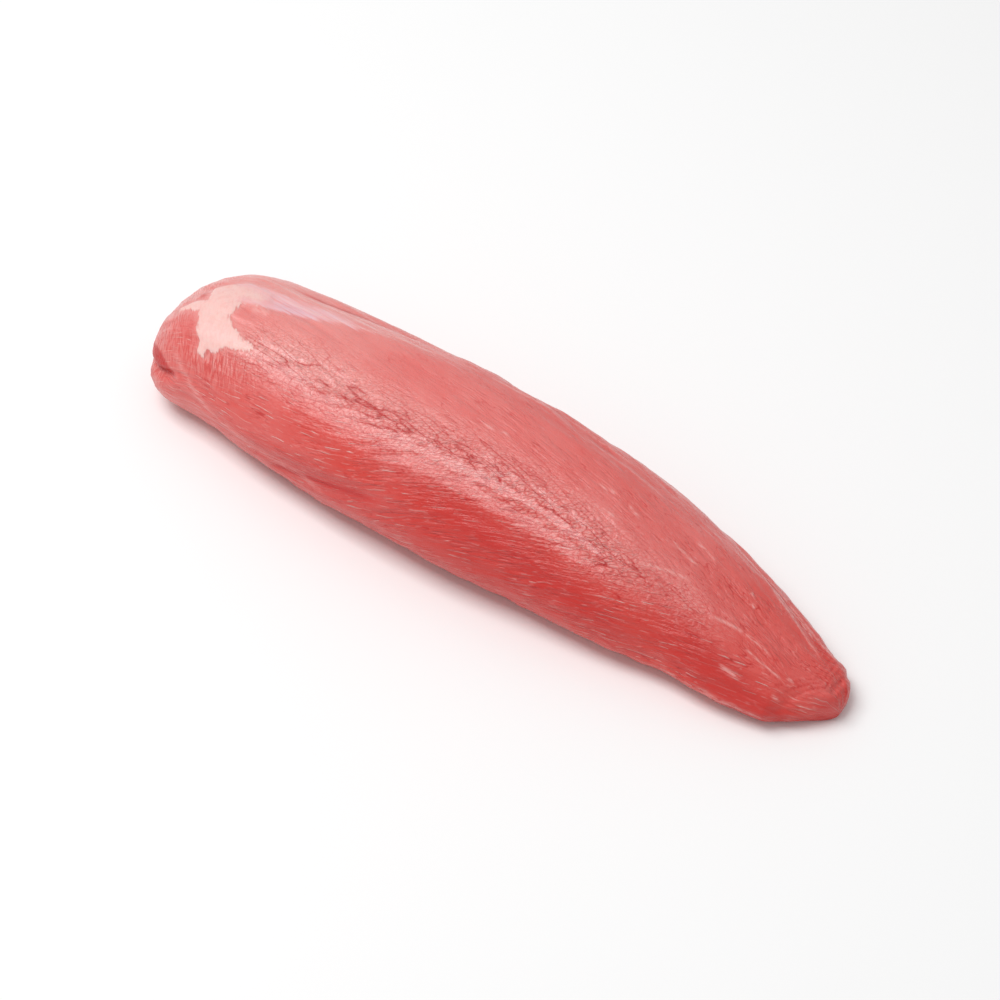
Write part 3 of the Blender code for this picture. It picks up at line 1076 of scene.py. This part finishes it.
@dataclass
class Tenderloin:
    """The whole piece of meat: one closed skin with its fat, membrane, strands and relief."""

    form: MuscleForm = field(default_factory=MuscleForm)
    grid: SkinGrid = field(default_factory=SkinGrid)
    grain: GrainTurn = field(default_factory=GrainTurn)
    relief: MuscleRelief = field(default_factory=MuscleRelief)
    fat: FatPatch = field(default_factory=FatPatch)
    silverskin: Silverskin = field(default_factory=Silverskin)
    finish: MeatFinish = field(default_factory=MeatFinish)
    wrinkle_lean: float = 19
    rim_wave: float = 0.24
    rim_wave_rise: float = 0.05
    fat_softness: float = 0.8
    silver_smoothing: float = 0.8
    table_clear: Pair = (0.4, 4)
    end_clear: Pair = (0.1, 0.5)
    unwrap_margin: float = 0.01
    # Each from one (along, girth) to another, then its bow, half width and, if not the usual, strength
    strands: tuple[Strand, ...] = (
        Strand((207, -4), (221, -1.5), 0.6, 0.35),
        Strand((204, 12), (222, 4.5), -0.8, 0.5),
        Strand((230.5, 10.5), (256, 5.1), -2.2, 0.45),
        # The next five are painted glints, not strands: a pale blotch and four small flecks on the tail
        Strand((242.5, 19.8), (251, 17.5), 0.3, 0.7),
        Strand((236.8, -8.4), (239, -7.6), 0.0, 0.5),
        Strand((239.5, -5.3), (241.6, -4.6), 0.0, 0.5),
        Strand((262.5, 6.6), (264.8, 5.8), 0.0, 0.45),
        Strand((261.5, 14.8), (264, 13.7), 0.0, 0.45),
        Strand((227, -22.8), (269, -8.2), 0.6, 0.5, 0.6),
        Strand((231, -26), (272, -12), 0.8, 0.5, 0.6),
        Strand((181, 4.4), (193, 2.6), 0.3, 0.3),
        Strand((190, -4.2), (197, -2), 0.2, 0.3),
        Strand((133, 1.5), (146, -1), 0.4, 0.3),
        Strand((176, -3), (186, -5), 0.3, 0.3),
        Strand((214, -9), (224, -7), -0.4, 0.3),
        Strand((246, 9), (262, 8), 0.5, 0.35),
        Strand((35, 0.8), (43, 0), 0.0, 1.6, 0.7),
        Strand((17, 24), (43, 45), 2.0, 1.1, 0.45),
        Strand((38, 43), (96, 53), 1.0, 1.2, 0.35),
        Strand((236, 33), (263, 23), 0.5, 1.0, 0.5),
        Strand((240, -19), (262, -13), -0.8, 0.5),
        Strand((120, -22), (150, -24), 0.8, 0.5),
        Strand((66, -17), (104, -20), 0.8, 0.6),
        Strand((39, -10.5), (66, -11.5), 0.8, 0.4, 0.5),
        Strand((60, -11), (88, -16), -0.4, 0.4, 0.6),
        Strand((146, -25), (184, -23), 0.5, 0.5, 0.6),
        Strand((160, -20), (198, -17), -0.4, 0.4, 0.5),
    )

    def veil_and_sheen(self, skin: SkinMap) -> Array:
        """How milky the outer membrane is, from 0 to 2: most over the top and the far side, with a painted
        highlight in the puckered band and a painted reflection of the floor on the low edge, both partly
        membrane.
        """
        noise = GradientNoise(seed=5)
        clouds = skin.along_fibres(noise, (38, 15, 15), 2)
        top = fade(-skin.girth, -26, -4) * fade(math.pi - np.abs(skin.angle), 0.2, 1.1)
        far = fade(-skin.girth, 8, 20)
        # Paler low edge: partly thin membrane, partly painted reflection of the pale floor
        low = hill(skin.girth, 53, 8) * fade(skin.along, 150, 60)
        first_half = fade(skin.along, 150, 50) * (0.38 + 0.24 * top)
        head = fade(skin.along, 50, 10)
        beside_silver = hill(skin.girth, -15, 11) * span(skin.along, (12, 30), (50, 100))
        tail = fade(skin.along, 204, 262) * (1 - 0.4 * far)
        # Paler puckered band: partly whiter membrane, partly painted highlight
        band = self.crinkle(skin) * (1 - 0.8 * hill(skin.along, 172, 16))
        cover = 0.86 * top + 0.1 * low + first_half + 0.1 * head + 0.7 * beside_silver + 0.4 * band
        return np.clip(cover * (1 - 0.62 * tail) + 0.16 * clouds, 0, 2)

    def crinkle(self, skin: SkinMap) -> Array:
        """Where the membrane is puckered into small cells, from 0 to 1: a band below the crest."""
        middle = np.interp(skin.along, (40, 62, 116, 171, 201, 223, 245), (17, 13, 18, 15, 15, 12, 11))
        thinned = 0.45 * fade(skin.along, 190, 215)
        lengthwise = fade(skin.along, 32, 46) * (fade(skin.along, 262, 222) - thinned)
        half_width = np.interp(skin.along, (180, 220), (10, 7))
        return hill(skin.girth, middle, half_width) * np.maximum(lengthwise, 0) * (1 - self.wrinkle(skin))

    def wrinkle(self, skin: SkinMap) -> Array:
        """Where short wrinkles run down the head's end and flank, below the fat, from 0 to 1."""
        below_fat = hill(skin.along, 35, 16) * hill(skin.girth, 25, 7)
        end = span(skin.along, (1, 5), (8, 22)) * fade(skin.angle, -1.4, -0.5)
        return np.clip(below_fat + end, 0, 1) * fade(skin.points[..., 2], 3, 9)

    def deep_red_and_shade(self, skin: SkinMap) -> Array:
        """Where the meat is darkest red, from 0 to 1, with painted shade in places.

        Args:
            skin: The skin's map.

        Returns:
            The sum of the head's fold, a spot beside the fat, the near flank, its low side and the tail's,
            the tail's rim, painted shade along the tail's bottom edge by the floor and in the valleys of the
            fine arcs inside the rim, and the bottom of each groove.
        """
        fold_line = np.interp(skin.along, (3, 10, 20), (74, 69, 73))
        fold_width = np.interp(skin.along, (3, 12, 21), (17, 13, 4))
        fold = fade(fold_width - np.abs(np.degrees(skin.angle) - fold_line), 0, 4)
        fold = fold * span(skin.along, (0.4, 2.6), (20, 23))
        flank = hill(skin.girth, 35, 9) * span(skin.along, (95, 160), (192, 232)) * 0.65
        beside_fat = hill(skin.along, 14.6, 1.4) * hill(skin.girth, 1.2, 2.6) * 0.5
        low = fade(skin.girth, 38, 46) * span(skin.along, (20, 70), (175, 200)) * 0.38
        low = low * fade(math.pi - skin.angle, 0.1, 0.7)
        tail_low = span(skin.girth, (12, 20), (28, 38)) * fade(skin.along, 205, 235) * 0.55
        height = skin.points[..., 2]
        rim = fade(self.from_rim(skin), 0.55, 0.2) * 0.4
        # Painted shade along the tail's bottom edge, where it meets the floor
        edge = fade(skin.along, 236, 262) * fade(height, 4.5, 0.5) * 0.7
        radius = np.hypot(skin.points[..., 1], height - self.form.curve("widest_at", skin.along))
        seams = self.form.seams(skin.along, skin.angle, radius) * 0.7
        # Painted shade in the valleys of the fine wrinkles inside the tail's rim
        arcs = 0.5 * np.clip(-self.rim_waves(skin), 0, 1)
        return np.clip(fold * 0.9 + beside_fat + rim + edge + seams + flank + low + tail_low + arcs, 0, 1)

    def from_rim(self, skin: SkinMap) -> Array:
        """How far from the tail's tip a point lies, counted in the length over which its side rounds off."""
        cap = self.form.tail
        reach = by_side(skin.angle, cap.top_length, cap.near_length, cap.far_length)
        return (self.form.length - skin.along) / reach

    def rim_waves(self, skin: SkinMap) -> Array:
        """Fine wrinkles inside the tail's rim, from -1 to 1: the cosine of the distance from the rim."""
        inwards = self.from_rim(skin) + 0.06 * GradientNoise(seed=21).at(skin.points, (5, 5, 5))
        shows = span(inwards, (0.5, 0.7), (1.1, 1.9)) * fade(skin.points[..., 2], 3, 6)
        on_top = fade(np.sin(skin.angle), 0.9, 0.3)
        return np.cos(inwards * 2 * math.pi / self.rim_wave) * shows * on_top

    def build(self) -> bpy.types.Object:
        """Makes the skin, dresses it, and puts it in the place of the solid.

        Returns:
            The finished object.
        """
        skin = SkinMap.of(self.form, self.grid, self.grain)
        inside_fat = self.fat.inside(skin)
        silver = self.silverskin.cover(skin)
        fat_share = fade(inside_fat, -self.fat_softness, self.fat_softness)
        crinkled = self.crinkle(skin)
        smooth = np.maximum(fat_share, silver * self.silver_smoothing)
        height = self.relief.heights(skin, smooth, crinkled) + self.fat.rise * fat_share
        height += self.rim_wave_rise * self.rim_waves(skin)
        top, far = (self.form.caps(skin.along, side) for side in ("top_length", "far_length"))
        height *= fade(skin.points[..., 2], *self.table_clear) * fade(np.minimum(top, far), *self.end_clear)
        points = skin.points + height[..., None] * skin.normals
        points[..., 2] = np.maximum(points[..., 2], 0)

        piece = self.mesh_object(points, skin)
        strand = sum(s.cover(skin) for s in self.strands)
        # How low the relief lies, which the colour reads to paint shade in its hollows
        hollow = np.clip(height / (self.relief.bundle_rise + self.relief.fibre_rise), -1, 1)
        down_the_flank = skin.travel - self.wrinkle_lean * np.sin(skin.angle)
        layers = {
            "fat": inside_fat, "silver": silver, "vein": self.silverskin.vein(skin), "veil_and_sheen": self.veil_and_sheen(skin),
            "crinkle": crinkled, "wrinkle": self.wrinkle(skin), "deep_red_and_shade": self.deep_red_and_shade(skin), "strand": strand,
            "hollow": hollow, "near_share": skin.near_share,
            "around": np.stack([down_the_flank, skin.girth, 0 * skin.girth], -1) * MM,
            "grain_far": skin.grains[Flank.FAR] * MM, "grain_near": skin.grains[Flank.NEAR] * MM,
        }
        for name, values in layers.items():
            kind, slot = ("FLOAT", "value") if values.ndim == 2 else ("FLOAT_VECTOR", "vector")
            layer = piece.data.attributes.new(name, kind, "POINT")
            layer.data.foreach_set(slot, self.with_tips(values).astype(np.float32).ravel())
        piece.data.materials.append(self.finish.material())
        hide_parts(NODE)
        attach(piece, "root")
        return piece

    @staticmethod
    def with_tips(values: Array) -> Array:
        """A grid's values in one list, then the means of its first and last rows for the two tips."""
        ends = np.stack([values[0].mean(0), values[-1].mean(0)])
        return np.concatenate([values.reshape(-1, *values.shape[2:]), ends])

    def mesh_object(self, points: Array, skin: SkinMap) -> bpy.types.Object:
        """Joins the grid by quads and closes each end with a fan, with one unwrap whose seam is underneath.

        Args:
            points: The grid's points, in millimetres.
            skin: The skin's map.

        Returns:
            The object, at the origin.
        """
        rows, columns = skin.along.shape
        index = np.arange(rows * columns).reshape(rows, columns)
        beside = np.roll(index, -1, axis=1)
        quads = np.stack([index[:-1], beside[:-1], beside[1:], index[1:]], -1).reshape(-1, 4)
        head_tip = np.full(columns, rows * columns)
        head = np.stack([head_tip, beside[0], index[0]], -1)
        tail = np.stack([head_tip + 1, index[-1], beside[-1]], -1)
        mesh = bpy.data.meshes.new("tenderloin_skin")
        faces = quads.tolist() + head.tolist() + tail.tolist()
        mesh.from_pydata((self.with_tips(points) * MM).tolist(), [], faces)

        crest = int(np.argmin(np.abs(skin.angle[0])))
        travelled = np.linalg.norm(np.diff(points[:, crest], axis=0), axis=-1)
        share = np.concatenate([[0], np.cumsum(travelled)]) / travelled.sum()
        u = share * (1 - 2 * self.unwrap_margin) + self.unwrap_margin
        girth = skin.girth[rows // 2]
        v = np.append((girth - girth[0]) / (girth[-1] - girth[0]) * (columns - 1) / columns, 1.0)
        u0, v0 = np.meshgrid(u[:-1], v[:-1], indexing="ij")
        u1, v1 = np.meshgrid(u[1:], v[1:], indexing="ij")
        quad_uv = np.stack([u0, v0, u0, v1, u1, v1, u1, v0], -1)
        mid = (v[1:] + v[:-1]) / 2
        first, last = np.full(columns, u[0]), np.full(columns, u[-1])
        head_uv = np.stack([first * 0, mid, first, v[1:], first, v[:-1]], -1)
        tail_uv = np.stack([last * 0 + 1, mid, last, v[:-1], last, v[1:]], -1)
        unwrap = mesh.uv_layers.new(name="OFBake")
        uv = np.concatenate([quad_uv.ravel(), head_uv.ravel(), tail_uv.ravel()])
        unwrap.uv.foreach_set("vector", uv.astype(np.float32))
        mesh.shade_smooth()
        piece = bpy.data.objects.new("tenderloin_skin", mesh)
        bpy.context.scene.collection.objects.link(piece)
        return piece


@dataclass(frozen=True)
class SoftBox:
    """One rectangular studio light: its place and size in metres, what it points at, and its power."""

    name: str
    place: Triple
    aim: Triple
    width: float
    depth: float
    watts: float


@dataclass
class Studio:
    """A plain pale floor, soft light from above, and the camera at the photograph's angle."""

    floor_half: float = 3.0
    floor_colour: Colour = (0.97, 0.97, 0.97)
    floor_roughness: float = 0.9
    floor_gloss: float = 0.1
    sky: float = 0.52
    sight: float = 20.0
    elevation: float = 48.0
    azimuth: float = 35.3
    distance: float = 1.05
    lens: float = 112.0
    target: Triple = (0.0034, -0.0023, 0.0166)
    lights: tuple[SoftBox, ...] = (
        SoftBox("overhead", (-0.46, -0.27, 1.28), (0, 0, 0.02), width=1.10, depth=0.66, watts=12.0),
    )

    def floor(self) -> None:
        """A large level square just under the meat."""
        h = self.floor_half
        mesh = bpy.data.meshes.new("floor")
        mesh.from_pydata([(-h, -h, 0), (h, -h, 0), (h, h, 0), (-h, h, 0)], [], [(0, 1, 2, 3)])
        ground = bpy.data.objects.new("floor", mesh)
        mesh.materials.append(Graph("floor_paper").dress({
            "Base Color": self.floor_colour,
            "Roughness": self.floor_roughness,
            "Specular IOR Level": self.floor_gloss,
        }))
        bpy.context.scene.collection.objects.link(ground)

    def world(self) -> None:
        """An even white sky."""
        world = bpy.data.worlds.new("sky")
        world.use_nodes = True
        background = world.node_tree.nodes["Background"]
        background.inputs["Color"].default_value = (1, 1, 1, 1)
        background.inputs["Strength"].default_value = self.sky
        bpy.context.scene.world = world

    def light(self, box: SoftBox) -> None:
        """Hangs one soft light, turned towards its aim with its width along X."""
        lamp = bpy.data.lights.new(box.name, "AREA")
        lamp.shape = "RECTANGLE"
        lamp.size, lamp.size_y = box.width, box.depth
        lamp.energy = box.watts
        holder = bpy.data.objects.new(box.name, lamp)
        holder.location = box.place
        back = (Vector(box.place) - Vector(box.aim)).normalized()
        side = (Vector((1, 0, 0)) - back * back.x).normalized()
        holder.rotation_euler = Matrix((side, back.cross(side), back)).transposed().to_euler()
        bpy.context.scene.collection.objects.link(holder)

    def camera(self) -> None:
        """Places the camera on its line of sight through the target."""
        turn, lift = math.radians(self.azimuth), math.radians(self.elevation)
        back = Vector((math.sin(turn) * math.cos(lift), -math.cos(turn) * math.cos(lift), math.sin(lift)))
        lens = bpy.data.cameras.new("camera")
        lens.lens = self.lens
        lens.clip_end = self.sight
        holder = bpy.data.objects.new("camera", lens)
        holder.location = Vector(self.target) + back * self.distance
        holder.rotation_euler = (-back).to_track_quat("-Z", "Y").to_euler()
        bpy.context.scene.collection.objects.link(holder)
        bpy.context.scene.camera = holder

    def build(self) -> None:
        """Sets up the whole studio."""
        self.camera()
        self.floor()
        self.world()
        for box in self.lights:
            self.light(box)
        bpy.context.scene.view_settings.view_transform = "Standard"


def main() -> None:
    """Builds the meat and the studio."""
    logging.basicConfig(level=logging.INFO, format="%(name)s: %(message)s")
    Studio().build()
    piece = Tenderloin().build()
    log.info("%s has %d points", piece.name, len(piece.data.vertices))
    bpy.context.view_layer.update()


if __name__ == "__main__":
    main()
